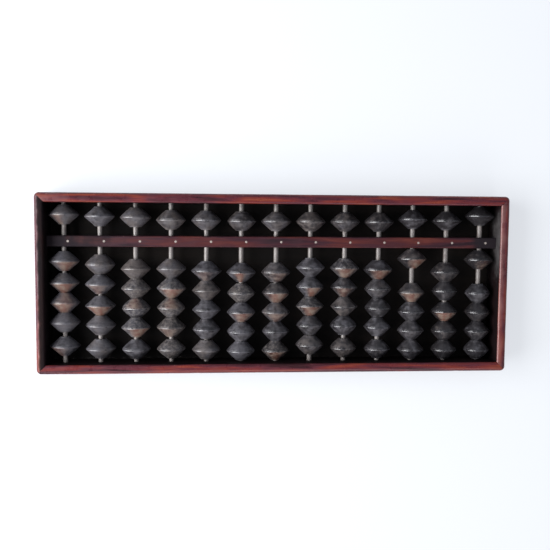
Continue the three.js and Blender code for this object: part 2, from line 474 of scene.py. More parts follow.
@dataclass(frozen=True)
class StainedBoard:
    """The back board: a very dark stain, made darker still as painted shade for the deep tray, with dust in
    the corners that fingers don't reach.
    """

    name: str = "stained_board"
    # Painted shade: darker than the stain alone, for the shade deep in the tray.
    black_and_shade: Colour = (0.0075, 0.0065, 0.0065)
    brown: Colour = (0.018, 0.0135, 0.0115)
    dust: Colour = (0.20, 0.19, 0.18)

    def build(self) -> bpy.types.Material:
        """Makes the board's material.

        Returns:
            The material, which reads the board's "dust" attribute.
        """
        sheet = FinishSheet(self.name)
        along = sheet.place(Grain.ALONG_X.value)
        even = sheet.place((1.0, 1.0, 1.0))
        fibres = sheet.noise(along, 0.7, detail=6.0, roughness=0.65)
        clouds = sheet.noise(along, 7.0, detail=3.0)
        streaks = sheet.maths("MULTIPLY", sheet.maths("ADD", fibres, clouds), 0.5)
        colour = sheet.ramp(streaks, (0.36, self.black_and_shade), (0.66, self.brown))
        specks = sheet.noise(even, 0.9, detail=6.0, roughness=0.75)
        settled = sheet.maths("ADD", specks, sheet.maths("MULTIPLY", sheet.attribute("dust"), 0.25))
        colour = sheet.mix(sheet.span(settled, 0.74, 0.92), colour, self.dust)
        roughness = sheet.span(fibres, 0.3, 0.7, (0.6, 0.8))
        return sheet.finish(
            Base_Color=colour, Roughness=roughness, Specular_IOR_Level=0.15, Normal=sheet.bump(fibres, 0.08)
        )


@dataclass(frozen=True)
class SmallPart:
    """A plain natural material for a pin or an inlay, with slight clouding."""

    name: str
    light: Colour
    dark: Colour
    roughness: float

    def build(self) -> bpy.types.Material:
        """Makes the material.

        Returns:
            The material.
        """
        sheet = FinishSheet(self.name)
        clouds = sheet.noise(sheet.place((1.0, 1.0, 1.0)), 0.5, detail=5.0, roughness=0.65)
        colour = sheet.mix(sheet.span(clouds, 0.38, 0.68), self.light, self.dark)
        return sheet.finish(Base_Color=colour, Roughness=self.roughness, Normal=sheet.bump(clouds, 0.03))


# ---------------------------------------------------------------------------------------------
# Mesh work that several sub-assemblies share
# ---------------------------------------------------------------------------------------------


def only_verts(geometry: list) -> list[bmesh.types.BMVert]:
    """The vertices among what a bmesh operator returned."""
    return [part for part in geometry if isinstance(part, bmesh.types.BMVert)]


def extrude_section(points: list[Vector], run: Vector) -> bmesh.types.BMesh:
    """Draws a flat section and extrudes it into a closed bar.

    Args:
        points: The section's corners in order.
        run: The way and distance that it is extruded.

    Returns:
        The bar.
    """
    shape = bmesh.new()
    face = shape.faces.new([shape.verts.new(point) for point in points])
    grown = bmesh.ops.extrude_face_region(shape, geom=[face])["geom"]
    bmesh.ops.translate(shape, verts=only_verts(grown), vec=run)
    bmesh.ops.recalc_face_normals(shape, faces=shape.faces)
    return shape


def long_edges(shape: bmesh.types.BMesh, axis: int, length: float) -> list[bmesh.types.BMEdge]:
    """The edges that run at least half of `length` along an axis."""
    return [e for e in shape.edges if abs(e.verts[0].co[axis] - e.verts[1].co[axis]) > length / 2]


def round_edges(shape: bmesh.types.BMesh, edges: list, radius: float, segments: int) -> None:
    """Rounds edges over with an arc.

    Args:
        shape: The mesh work.
        edges: The edges to round.
        radius: How far the arc reaches on each side.
        segments: How many flats it has.
    """
    bmesh.ops.bevel(
        shape, geom=edges, offset=radius, offset_type="OFFSET", segments=segments, profile=0.5,
        affect="EDGES", clamp_overlap=True, material=-1,
    )


def revolve(outline: list[tuple[float, float]], steps: int, closed: bool) -> bmesh.types.BMesh:
    """Spins an outline round the Y axis.

    Args:
        outline: Points as radius and distance along Y.
        steps: How many sides a full turn has.
        closed: Whether the last point joins the first, as on a piece with a bore.

    Returns:
        The turned piece.
    """
    shape = bmesh.new()
    verts = [shape.verts.new((radius, along, 0.0)) for radius, along in outline]
    pairs = list(zip(verts, verts[1:]))
    if closed:
        pairs.append((verts[-1], verts[0]))
    edges = [shape.edges.new(pair) for pair in pairs]
    bmesh.ops.spin(
        shape, geom=verts + edges, cent=(0, 0, 0), axis=(0, 1, 0), dvec=(0, 0, 0), angle=math.tau,
        steps=steps, use_merge=True, use_duplicate=False,
    )
    bmesh.ops.remove_doubles(shape, verts=shape.verts, dist=1e-7)
    bmesh.ops.recalc_face_normals(shape, faces=shape.faces)
    return shape


def domed_peg(
    radius: float, depth: float, dome: float, steps: int, sides: int, facing: int = 1
) -> bmesh.types.BMesh:
    """Turns a short peg with a shallow dome at one end.

    Args:
        radius: Its radius.
        depth: Its length without the dome.
        dome: How far the dome stands out.
        steps: How many flats the dome's arc has.
        sides: How many sides a full turn has.
        facing: 1 if the dome faces up, -1 if it faces down.

    Returns:
        The peg along Z, with the foot of its dome at the origin.
    """
    arc = [step * math.pi / (2 * steps) for step in range(steps)]
    crown = [(radius * math.cos(angle), dome * math.sin(angle)) for angle in arc]
    shape = revolve([(0.0, -depth), (radius, -depth), *crown, (0.0, dome)], sides, closed=False)
    upright = Matrix.Rotation(facing * math.pi / 2, 3, "X")
    bmesh.ops.rotate(shape, verts=shape.verts, cent=(0, 0, 0), matrix=upright)
    return shape


def add_piece(
    name: str, shape: bmesh.types.BMesh, material: bpy.types.Material, body: str
) -> bpy.types.Object:
    """Turns a bmesh into a smooth-shaded piece that rides on a CAD body.

    Args:
        name: The piece's name.
        shape: Its mesh work, which is freed.
        material: Its finish.
        body: The CAD body that it moves with.

    Returns:
        The object.
    """
    for face in shape.faces:
        face.smooth = True
    for edge in shape.edges:
        if edge.is_manifold and edge.calc_face_angle() > SMOOTH_LIMIT:
            edge.smooth = False
    mesh = bpy.data.meshes.new(name)
    shape.to_mesh(mesh)
    shape.free()
    mesh.materials.append(material)
    piece = bpy.data.objects.new(name, mesh)
    bpy.context.scene.collection.objects.link(piece)
    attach(piece, body)
    LOG.info("%s: %d faces on %s", name, len(mesh.polygons), body)
    return piece


def cut_holes(piece: bpy.types.Object, cutter_shape: bmesh.types.BMesh) -> None:
    """Cuts a set of closed cutters out of a piece's mesh.

    Args:
        piece: The piece, whose mesh is replaced by the cut one.
        cutter_shape: The cutters, which are freed.
    """
    cutter_mesh = bpy.data.meshes.new("cutter")
    cutter_shape.to_mesh(cutter_mesh)
    cutter_shape.free()
    cutter = bpy.data.objects.new("cutter", cutter_mesh)
    bpy.context.scene.collection.objects.link(cutter)
    cut = piece.modifiers.new("rod_holes", "BOOLEAN")
    cut.operation = "DIFFERENCE"
    cut.solver = "EXACT"
    cut.object = cutter
    bpy.context.view_layer.update()
    graph = bpy.context.evaluated_depsgraph_get()
    whole = piece.data
    piece.data = bpy.data.meshes.new_from_object(piece.evaluated_get(graph), depsgraph=graph)
    piece.data.name = whole.name
    piece.modifiers.clear()
    bpy.data.objects.remove(cutter)
    bpy.data.meshes.remove(cutter_mesh)
    bpy.data.meshes.remove(whole)


# ---------------------------------------------------------------------------------------------
# The frame's own places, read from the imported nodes
# ---------------------------------------------------------------------------------------------


@dataclass(frozen=True)
class Layout:
    """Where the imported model's structure lies, so that every piece can be placed from it."""

    low: Vector
    high: Vector
    member_width: float
    beam_low: Vector
    beam_high: Vector
    board_low: Vector
    board_high: Vector
    rod_x: tuple[float, ...]
    rod_level: float
    rod_half_length: float

    @classmethod
    def read(cls) -> Layout:
        """Reads the layout from the CAD nodes' boxes.

        Returns:
            The layout, in metres.
        """
        low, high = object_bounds()
        rods = [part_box(f"rod_{column:02d}") for column in range(1, COLUMN_COUNT + 1)]
        rail_low, rail_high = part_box("far_rail")
        beam_low, beam_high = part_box("reckoning_beam")
        board_low, board_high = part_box("back_board")
        return cls(
            low=low,
            high=high,
            member_width=rail_high.y - rail_low.y,
            beam_low=beam_low,
            beam_high=beam_high,
            board_low=board_low,
            board_high=board_high,
            rod_x=tuple((a.x + b.x) / 2 for a, b in rods),
            rod_level=(rods[0][0].z + rods[0][1].z) / 2,
            rod_half_length=(rods[0][1].y - rods[0][0].y) / 2,
        )

    def rod_cutters(self, low_y: float, high_y: float, radius: float) -> bmesh.types.BMesh:
        """Makes a round cutter on every rod's axis.

        Args:
            low_y: Where the cutters start.
            high_y: Where they end.
            radius: Their radius.

        Returns:
            The mesh work with all the cutters.
        """
        cutters = bmesh.new()
        for x in self.rod_x:
            middle = Vector((x, (low_y + high_y) / 2, self.rod_level))
            lie = Matrix.Translation(middle) @ Matrix.Rotation(math.pi / 2, 4, "X")
            bmesh.ops.create_cone(
                cutters, cap_ends=True, segments=24, radius1=radius, radius2=radius,
                depth=high_y - low_y, matrix=lie,
            )
        return cutters


# ---------------------------------------------------------------------------------------------
# The mitred frame
# ---------------------------------------------------------------------------------------------


@dataclass
class FrameMember:
    """One rail or stile: a rounded bar, mitred at both ends, its edges dented by use.

    It is shaped along X, with Y inwards from its outer face, and then turned to its side of the frame.

    Attributes:
        name: The piece's name.
        node: The CAD node that it replaces.
        length: Its outer length, mitre tip to mitre tip.
        span: The distance between the outer faces of this member and the opposite one.
        turn: Quarter turns from the near side of the frame.
        painted_sheen: How much paler the top is painted towards its inner side: a painted sheen.
        pale_end_reach: How far the top grows paler from the end at +X.
        top_grime: How dark the top is painted towards its inner side: painted shade.
        unshaded_margin: The share of the top's width that stays unshaded at its outer side.
        grime_run: The share of it over which the top's painted shade comes in.
        face_grime: How dark the inner face is, from dirt and painted shade.
        dustiness: How much dust has settled on the inner face.
        dust_run: Where that dust starts and ends along the member.
        dust_in_lower_shade: How much of that dust the face's lower half has; it stays darker as painted
            shade, so the upper half's dust is partly painted light.
    """

    name: str
    node: str
    length: float
    span: float
    turn: int
    width: float
    height: float
    outer_shoulder: float = 3.2 * MM
    inner_shoulder: float = 1.5 * MM
    foot_chamfer: float = 0.6 * MM
    rebate_width: float = 3.0 * MM
    rebate_height: float = 3.3 * MM
    mitre_gap: float = 0.07 * MM
    corner_radius: float = 3.2 * MM
    stations: int = 230
    end_crowding: float = 0.42
    inner_exposure: float = 0.8
    top_exposure: float = 0.25
    dent: float = 0.33 * MM
    dent_scale: float = 0.16
    dent_onset: float = 0.22
    nick_share: float = 0.6
    nick_scale: float = 0.45
    nick_onset: float = 0.4
    ripple: float = 0.035 * MM
    ripple_scale: float = 0.035
    painted_sheen: float = 0.0
    end_paleness: float = 0.6
    pale_end_reach: float = 1.0 * MM
    top_grime: float = 0.0
    unshaded_margin: float = 0.06
    grime_run: float = 0.48
    face_grime: float = 1.05
    dustiness: float = 0.25
    dust_run: tuple[float, float] = (-1.0, 1.0)
    dust_fade: float = 22 * MM
    dust_in_lower_shade: float = 0.4

    def section(self) -> list[Vector]:
        """Lays out the section before its shoulders are rounded.

        Returns:
            Its corners at the member's start, with Y inwards from the outer face.
        """
        start = -self.length / 2
        step_in = self.width - self.rebate_width
        corners = [
            (self.foot_chamfer, 0.0), (step_in, 0.0), (step_in, self.rebate_height),
            (self.width, self.rebate_height), (self.width, self.height), (0.0, self.height),
            (0.0, self.foot_chamfer),
        ]
        return [Vector((start, inset, up)) for inset, up in corners]

    def shape(self) -> bmesh.types.BMesh:
        """Builds the member in its place in the frame.

        Returns:
            The mesh work, with "edge", "haze", "grime" and "dust" attributes for its finish.
        """
        shape = extrude_section(self.section(), Vector((self.length, 0.0, 0.0)))
        for inset, radius in ((0.0, self.outer_shoulder), (self.width, self.inner_shoulder)):
            top = [
                edge for edge in long_edges(shape, 0, self.length)
                if all(abs(v.co.y - inset) < 1e-6 and abs(v.co.z - self.height) < 1e-6 for v in edge.verts)
            ]
            round_edges(shape, top, radius, 6)
        bmesh.ops.subdivide_edges(
            shape, edges=long_edges(shape, 0, self.length), cuts=self.stations, use_grid_fill=True
        )
        self._mitre(shape)
        self._soil_and_shade(shape)
        self._wear(shape)
        bmesh.ops.translate(shape, verts=shape.verts, vec=(0, -self.span / 2, 0))
        self._round_corners(shape)
        turned = Matrix.Rotation(self.turn * math.pi / 2, 3, "Z")
        bmesh.ops.rotate(shape, verts=shape.verts, cent=(0, 0, 0), matrix=turned)
        return shape

    def _mitre(self, shape: bmesh.types.BMesh) -> None:
        """Crowds the stations towards the ends and slopes both ends to 45 degrees.

        Args:
            shape: The member's bar.
        """
        half = self.length / 2
        for vert in shape.verts:
            share = vert.co.x / half
            eased = share * (1 + self.end_crowding) - self.end_crowding * share**3
            reach = half - vert.co.y - self.mitre_gap
            vert.co.x = eased * reach

    def _rise(self, up: float) -> float:
        """How near the top a height is, from 0 well below the shoulder to 1."""
        return max(0.0, 1 - (self.height - up) / (1.6 * self.outer_shoulder))

    def _exposure(self, inset: float, up: float) -> float:
        """How much hands and tables rub a place on the section.

        Args:
            inset: Its distance in from the outer face.
            up: Its height.

        Returns:
            0 where nothing touches it, and up to 1 on the outer shoulder and the foot.
        """
        outer = max(0.0, 1 - inset / self.outer_shoulder)
        inner = max(0.0, 1 - (self.width - inset) / self.inner_shoulder)
        foot = max(0.0, 1 - up / (3 * self.foot_chamfer)) if inset < 2 * self.foot_chamfer else 0.0
        return min(1.0, self._rise(up) * max(outer, self.inner_exposure * inner, self.top_exposure) + foot)

    def _soil_and_shade(self, shape: bmesh.types.BMesh) -> None:
        """Notes how exposed each point is, how pale from painted sheen and towards one end, how dark from
        dirt and painted shade, and how much dust it has.

        Args:
            shape: The mitred bar.
        """
        edge = shape.verts.layers.float.new("edge")
        grime = shape.verts.layers.float.new("grime")
        dust = shape.verts.layers.float.new("dust")
        sheen_and_pale_end = shape.verts.layers.float.new("sheen_and_pale_end")
        for vert in shape.verts:
            along, inset, up = vert.co
            vert[edge] = self._exposure(inset, up)
            # Painted sheen: on the right stile the top is painted paler towards its inner side; the top
            # also grows paler near the end at +X.
            end_paleness = self.end_paleness * max(0.0, 1 - (self.length / 2 - along) / self.pale_end_reach)
            vert[sheen_and_pale_end] = self._rise(up) * max(self.painted_sheen * inset / self.width, end_paleness)
            depth = (self.height - up) / self.inner_shoulder
            is_inside = inset > self.width - 0.5 * self.inner_shoulder
            on_face = min(1.0, max(0.0, 2 * depth - 1)) if is_inside else 0.0
            # Painted shade: where it is set, the top grows darker towards its inner side.
            across = min(1.0, max(0.0, (inset / self.width - self.unshaded_margin) / self.grime_run))
            # The inner face below the shoulder grows dark: dirt and painted shade.
            vert[grime] = max(self.face_grime * on_face, self.top_grime * across)
            start, end = self.dust_run
            ease = min(1.0, max(0.0, min(along - start, end - along) / self.dust_fade))
            # Dust on the inner face, fuller on its upper half: dust, and painted light on the half that the
            # light reaches.
            vert[dust] = ease * on_face * self.dustiness * (1.0 if up > self.height / 2 else self.dust_in_lower_shade)

    def _wear(self, shape: bmesh.types.BMesh) -> None:
        """Dents the shoulders and ripples the outside, always inwards.

        Args:
            shape: The mitred bar.
        """
        shape.normal_update()
        seed = Vector((7.3 * self.turn, 3.1, 1.7 * self.turn))
        for vert in shape.verts:
            inset, up = vert.co.y, vert.co.z
            if up > self.rebate_height + 1e-6 or inset < self.foot_chamfer + 1e-6:
                place = vert.co / MM + seed * 10
                knock = max(0.0, noise.noise(place * self.dent_scale) - self.dent_onset)
                nick = max(0.0, noise.noise(place * self.nick_scale) - self.nick_onset)
                knock += self.nick_share * nick
                swell = self.ripple * (1 + noise.noise(place * self.ripple_scale))
                vert.co -= vert.normal * (self.dent * knock * self._exposure(inset, up) + swell)

    def _round_corners(self, shape: bmesh.types.BMesh) -> None:
        """Bends the square plan corners into arcs, each inset keeping its own arc.

        Args:
            shape: The bar in its place on the near side of the frame.
        """
        centre_x = self.length / 2 - self.corner_radius
        centre_y = self.span / 2 - self.corner_radius
        for vert in shape.verts:
            past = Vector((abs(vert.co.x) - centre_x, -vert.co.y - centre_y))
            if past.x > 0 and past.y > 0:
                past *= max(past.x, past.y) / past.length
                vert.co.x = math.copysign(centre_x + past.x, vert.co.x)
                vert.co.y = -(centre_y + past.y)


@dataclass
class MitredFrame:
    """The two rails and two stiles, with blind holes in the rails for the rods."""

    layout: Layout
    wood: LacqueredWood = LacqueredWood("frame_lacquer")
    hole_radius: float = 2.0 * MM
    hole_depth: float = 4.0 * MM
    hole_darkening_margin: float = 0.1 * MM

    def members(self) -> list[FrameMember]:
        """Lists the four members with their sizes from the layout.

        Returns:
            The members, anticlockwise from the near rail.
        """
        size = self.layout.high - self.layout.low
        width, height = self.layout.member_width, size.z
        return [
            FrameMember("near_rail_wood", "near_rail", size.x, size.y, 0, width, height),
            FrameMember(
                "right_stile_wood", "right_stile", size.y, size.x, 1, width, height, stations=110,
                # Painted sheen on the inner half of the right stile's top, and a pale patch of dust on its
                # inner face that is partly painted light.
                dustiness=1.0, dust_run=(-6 * MM, 62 * MM), painted_sheen=0.8,
            ),
            FrameMember(
                "far_rail_wood", "far_rail", size.x, size.y, 2, width, height, pale_end_reach=38 * MM,
            ),
            FrameMember(
                "left_stile_wood", "left_stile", size.y, size.x, 3, width, height, stations=110,
                # Painted shade on the inner side of the left stile's top.
                top_grime=0.9,
            ),
        ]

    def build(self) -> None:
        """Builds and dresses the members, and drills the rails for the rods."""
        finishes = {grain: self.wood.build(grain) for grain in Grain}
        for member in self.members():
            is_rail = member.turn % 2 == 0
            grain = Grain.ALONG_X if is_rail else Grain.ALONG_Y
            piece = add_piece(member.name, member.shape(), finishes[grain], "frame")
            if is_rail:
                self._drill(piece, 1 if member.turn else -1)
            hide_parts(member.node)

    def _drill(self, rail: bpy.types.Object, side: int) -> None:
        """Cuts a rail's blind rod holes and makes them as dark as the face round them, with dirt and
        painted shade.

        Args:
            rail: The rail's piece.
            side: 1 for the far rail, -1 for the near one.
        """
        inner = self.layout.high.y - self.layout.member_width
        mouth, bottom = side * (inner - MM), side * (inner + self.hole_depth)
        cutters = self.layout.rod_cutters(min(mouth, bottom), max(mouth, bottom), self.hole_radius)
        cut_holes(rail, cutters)
        for vert, darkening in zip(rail.data.vertices, rail.data.attributes["grime"].data):
            from_rod = min(
                math.hypot(vert.co.x - x, vert.co.z - self.layout.rod_level) for x in self.layout.rod_x
            )
            if from_rod < self.hole_radius + self.hole_darkening_margin:
                darkening.value = 1.0


# ---------------------------------------------------------------------------------------------
# The reckoning beam
# ---------------------------------------------------------------------------------------------


@dataclass
class ReckoningBeam:
    """The bar between the decks, pierced by the rods, with a pale dot beside each rod."""

    layout: Layout
    wood: LacqueredWood = LacqueredWood(
        "beam_wood",
        dark=(0.021, 0.0085, 0.012),
        plum=(0.041, 0.0135, 0.019),
        red=(0.061, 0.0155, 0.0165),
        amber=(0.092, 0.025, 0.020),
        scuffed=(0.12, 0.065, 0.062),
        grime_and_shade_dark=(0.020, 0.0165, 0.0195),
        roughness=(0.42, 0.58),
        shine=0.26,
    )
    bone: SmallPart = SmallPart("bone_inlay", (0.27, 0.235, 0.21), (0.17, 0.145, 0.13), 0.5)
    shoulder: float = 0.9 * MM
    hole_radius: float = 2.0 * MM
    stations: int = 200
    unevenness: float = 0.12 * MM
    dot_radius: float = 0.8 * MM
    dot_rise: float = 0.05 * MM
    dot_offset: float = 3.1 * MM
    dot_depth: float = 0.7 * MM
    end_clearance: float = 0.05 * MM
    shade_at_ends: float = 22 * MM
    shade_at_left: float = 75 * MM
    end_grime: float = 0.95
    left_grime: float = 0.9

    def build(self) -> None:
        """Builds the beam and its unit dots."""
        low, high = self.layout.beam_low.copy(), self.layout.beam_high.copy()
        inner = self.layout.high.x - self.layout.member_width - self.end_clearance
        corners = [(low.y, low.z), (high.y, low.z), (high.y, high.z), (low.y, high.z)]
        section = [Vector((-inner, y, z)) for y, z in corners]
        shape = extrude_section(section, Vector((2 * inner, 0, 0)))
        top = [
            edge for edge in long_edges(shape, 0, 2 * inner)
            if all(abs(v.co.z - high.z) < 1e-6 for v in edge.verts)
        ]
        round_edges(shape, top, self.shoulder, 4)
        bmesh.ops.subdivide_edges(
            shape, edges=long_edges(shape, 0, 2 * inner), cuts=self.stations, use_grid_fill=True
        )
        self._wear(shape, inner, high.z)
        middle = (low.y + high.y) / 2
        finish = self.wood.build(Grain.ALONG_X)
        piece = add_piece("reckoning_beam_wood", shape, finish, "frame")
        cut_holes(piece, self.layout.rod_cutters(low.y - MM, high.y + MM, self.hole_radius))
        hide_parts("reckoning_beam")
        self._inlay_dots(middle, high.z)

    def _wear(self, shape: bmesh.types.BMesh, inner: float, top: float) -> None:
        """Makes the top slightly uneven, and notes how exposed each point is and how much darker it is
        painted towards both ends and over the left third.

        Args:
            shape: The beam.
            inner: How far it reaches to each side.
            top: The height of its top.
        """
        edge = shape.verts.layers.float.new("edge")
        grime = shape.verts.layers.float.new("grime")
        low, high = self.layout.beam_low, self.layout.beam_high
        middle, half = (low.y + high.y) / 2, (high.y - low.y) / 2
        for vert in shape.verts:
            outward = abs(vert.co.y - middle) / half
            near_top = max(0.0, 1 - (top - vert.co.z) / (2 * self.shoulder))
            near_end = max(0.0, 1 - (inner - abs(vert.co.x)) / self.shade_at_ends)
            near_left = max(0.0, 1 - (inner + vert.co.x) / self.shade_at_left)
            vert[edge] = min(1.0, near_top * max(0.0, outward - 0.55) * 2.2)
            # Darker towards both ends and over the left third.
            vert[grime] = max(self.end_grime * min(1.0, 1.8 * near_end), self.left_grime * near_left)
            vert.co.z -= self._sag(vert.co.x)

    def _sag(self, x: float) -> float:
        """How far the beam dips from its full height at a place along it."""
        return self.unevenness * (0.5 + 0.5 * noise.noise(Vector((x / MM * 0.03, 5.0, 1.0))))

    def _inlay_dots(self, middle: float, top: float) -> None:
        """Sets a small domed inlay in the beam just right of each rod.

        Args:
            middle: The beam's middle in Y.
            top: The height of its top.
        """
        bone = self.bone.build()
        for column, x in enumerate(self.layout.rod_x, start=1):
            shape = domed_peg(self.dot_radius, self.dot_depth, self.dot_rise, 6, 20)
            place = Vector((x + self.dot_offset, middle, top - self._sag(x + self.dot_offset)))
            bmesh.ops.translate(shape, verts=shape.verts, vec=place)
            add_piece(f"unit_dot_{column:02d}", shape, bone, "frame")


# ---------------------------------------------------------------------------------------------
# The back board
# ---------------------------------------------------------------------------------------------


@dataclass
class BackBoard:
    """The thin board in the frame's rebate and the pins that hold it."""

    layout: Layout
    stain: StainedBoard = StainedBoard()
    peg: SmallPart = SmallPart("bamboo_peg", (0.30, 0.21, 0.13), (0.12, 0.075, 0.045), 0.5)
    stations_along: int = 90
    stations_across: int = 40
    edge_round: float = 0.35 * MM
    lift: float = 0.12 * MM
    pin_radius: float = 0.9 * MM
    pin_inset: float = 1.5 * MM
    pin_dome: float = 0.10 * MM
    pin_gap: float = 0.5 * MM
    pin_lift: float = 0.01 * MM
    pins_along: int = 6
    pins_across: int = 3
    dust_reach: float = 4.0 * MM
    right_dust: float = 0.35

    def build(self) -> None:
        """Builds the board and its pins."""
        low, high = self.layout.board_low, self.layout.board_high
        shape = bmesh.new()
        size = high - low
        size.z -= self.lift
        middle = (low + high) / 2
        middle.z += self.lift / 2
        bmesh.ops.create_cube(
            shape, size=1.0, matrix=Matrix.Translation(middle) @ Matrix.Diagonal((*size, 1.0))
        )
        round_edges(shape, list(shape.edges), self.edge_round, 2)
        for axis, length, cuts in ((0, size.x, self.stations_along), (1, size.y, self.stations_across)):
            bmesh.ops.subdivide_edges(
                shape, edges=long_edges(shape, axis, length), cuts=cuts, use_grid_fill=True
            )
        dust = shape.verts.layers.float.new("dust")
        frame_edge = self.layout.high.y - self.layout.member_width
        for vert in shape.verts:
            to_near = abs(vert.co.y + frame_edge) / self.dust_reach
            at_left = min(1.0, max(0.0, -vert.co.x / frame_edge))
            vert[dust] = max(0.0, (1 - to_near) * (self.right_dust + (1 - self.right_dust) * at_left))
        board = add_piece("back_board_panel", shape, self.stain.build(), "frame")
        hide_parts("back_board")
        self._drive_pins(low, high)

    def _drive_pins(self, low: Vector, high: Vector) -> None:
        """Sets domed bamboo pins round the edge of the underside.

        Args:
            low: The board's lowest corner.
            high: Its highest corner.
        """
        peg = self.peg.build()
        left, right = low.x + self.pin_inset, high.x - self.pin_inset
        near, far = low.y + self.pin_inset, high.y - self.pin_inset
        along = [left + (right - left) * (k + 0.5) / self.pins_along for k in range(self.pins_along)]
        across = [near + (far - near) * (k + 0.5) / self.pins_across for k in range(self.pins_across)]
        places = [(x, y) for x in along for y in (near, far)]
        places += [(x, y) for y in across for x in (left, right)]
        length = high.z - low.z - self.pin_gap - self.lift
        for number, (x, y) in enumerate(places, start=1):
            shape = domed_peg(self.pin_radius, length, self.pin_dome, 5, 16, facing=-1)
            bmesh.ops.translate(shape, verts=shape.verts, vec=(x, y, self.lift + self.pin_lift))
            add_piece(f"board_pin_{number:02d}", shape, peg, "frame")


# ---------------------------------------------------------------------------------------------
# Rods and beads
# ---------------------------------------------------------------------------------------------


@dataclass
class BambooRods:
    """The thirteen rods, hand-split and so not quite round or straight."""

    layout: Layout
    radius: float = 1.66 * MM
    sides: int = 20
    stations: int = 60
    sway: float = 0.10 * MM
    sway_scale: float = 0.02
    flatness: float = 0.05 * MM
    flat_scale: float = 0.05

    def build(self) -> None:
        """Builds and dresses every rod."""
        finish = Bamboo().build()
        length = 2 * self.layout.rod_half_length
        for column, x in enumerate(self.layout.rod_x, start=1):
            shape = bmesh.new()
            lie = Matrix.Rotation(math.pi / 2, 4, "X")
            bmesh.ops.create_cone(
                shape, cap_ends=True, segments=self.sides, radius1=self.radius, radius2=self.radius,
                depth=length, matrix=lie,
            )
            bmesh.ops.subdivide_edges(
                shape, edges=long_edges(shape, 1, length), cuts=self.stations, use_grid_fill=True
            )
            self._split(shape, column)
            bmesh.ops.translate(shape, verts=shape.verts, vec=(x, 0.0, self.layout.rod_level))
            piece = add_piece(f"bamboo_rod_{column:02d}", shape, finish, "frame")
            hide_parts(f"rod_{column:02d}")

    def _split(self, shape: bmesh.types.BMesh, column: int) -> None:
        """Bends a rod a little and flattens it in places.

        Args:
            shape: The straight round rod.
            column: Its column, which gives it a shape of its own.
        """
        for vert in shape.verts:
            along, around = vert.co.y / MM, math.atan2(vert.co.z, vert.co.x)
            sideways = noise.noise(Vector((along * self.sway_scale, column * 3.7, 0.0)))
            upwards = noise.noise(Vector((along * self.sway_scale, column * 3.7, 9.0)))
            flat = noise.noise(Vector((around * 1.2, along * self.flat_scale, column * 1.9)))
            outward = Vector((vert.co.x, 0.0, vert.co.z)).normalized()
            vert.co += Vector((sideways, 0.0, upwards)) * self.sway + outward * self.flatness * flat


@dataclass(frozen=True)
class WornPatch:
    """A place where a bead is worn to bare wood.

    Attributes:
        column: The bead's column, from 1 at the left.
        number: 0 beyond the beam, else 1 to 5 from the beam towards the user.
        bearing: Degrees round the rod, from straight up towards the right.
        strength: How bare its middle is.
        cone: The cone that it lies on.
        spread: How far it reaches round the bead, in degrees.
    """

    column: int
    number: int
    bearing: float = 0.0
    strength: float = 1.0
    cone: Cone = Cone.NEAR
    spread: float = 52.0


WORN_PATCHES = (
    WornPatch(1, 0, -20, 0.55, Cone.NEAR, 30),
    WornPatch(1, 1, 25, 0.85),
    WornPatch(1, 2, 5, 1.0),
    WornPatch(1, 3, 0, 0.95),
    WornPatch(1, 3, 15, 0.6, Cone.FAR),
    WornPatch(1, 5, -35, 0.6),
    WornPatch(2, 2, -10, 0.55),
    WornPatch(2, 3, 0, 1.25),
    WornPatch(3, 3, -5, 0.6, Cone.FAR),
    WornPatch(3, 4, 25, 1.0),
    WornPatch(4, 2, 10, 1.0),
    WornPatch(4, 3, 0, 0.6, Cone.FAR),
    WornPatch(4, 4, -15, 0.5),
    WornPatch(5, 1, -10, 0.45),
    WornPatch(6, 1, -8, 0.9, Cone.NEAR, 24),
    WornPatch(6, 3, 5, 0.8),
    WornPatch(7, 1, 15, 0.5),
    WornPatch(7, 2, 10, 0.95),
    WornPatch(7, 3, 0, 0.55),
    WornPatch(7, 5, 0, 0.7),
    WornPatch(8, 2, 12, 1.15, Cone.NEAR, 32),
    WornPatch(8, 3, 0, 0.85),
    WornPatch(9, 1, 0, 0.8),
    WornPatch(9, 2, -10, 0.6),
    WornPatch(10, 1, 5, 0.8),
    WornPatch(11, 1, 20, 0.85),
    WornPatch(11, 2, -10, 0.85),
    WornPatch(12, 3, -5, 0.95),
    WornPatch(13, 1, 10, 0.4),
)
PITTED_BEADS = {(3, 2), (3, 3), (3, 4), (4, 2), (4, 3), (4, 4), (4, 5), (6, 2), (7, 5), (8, 3), (9, 1)}


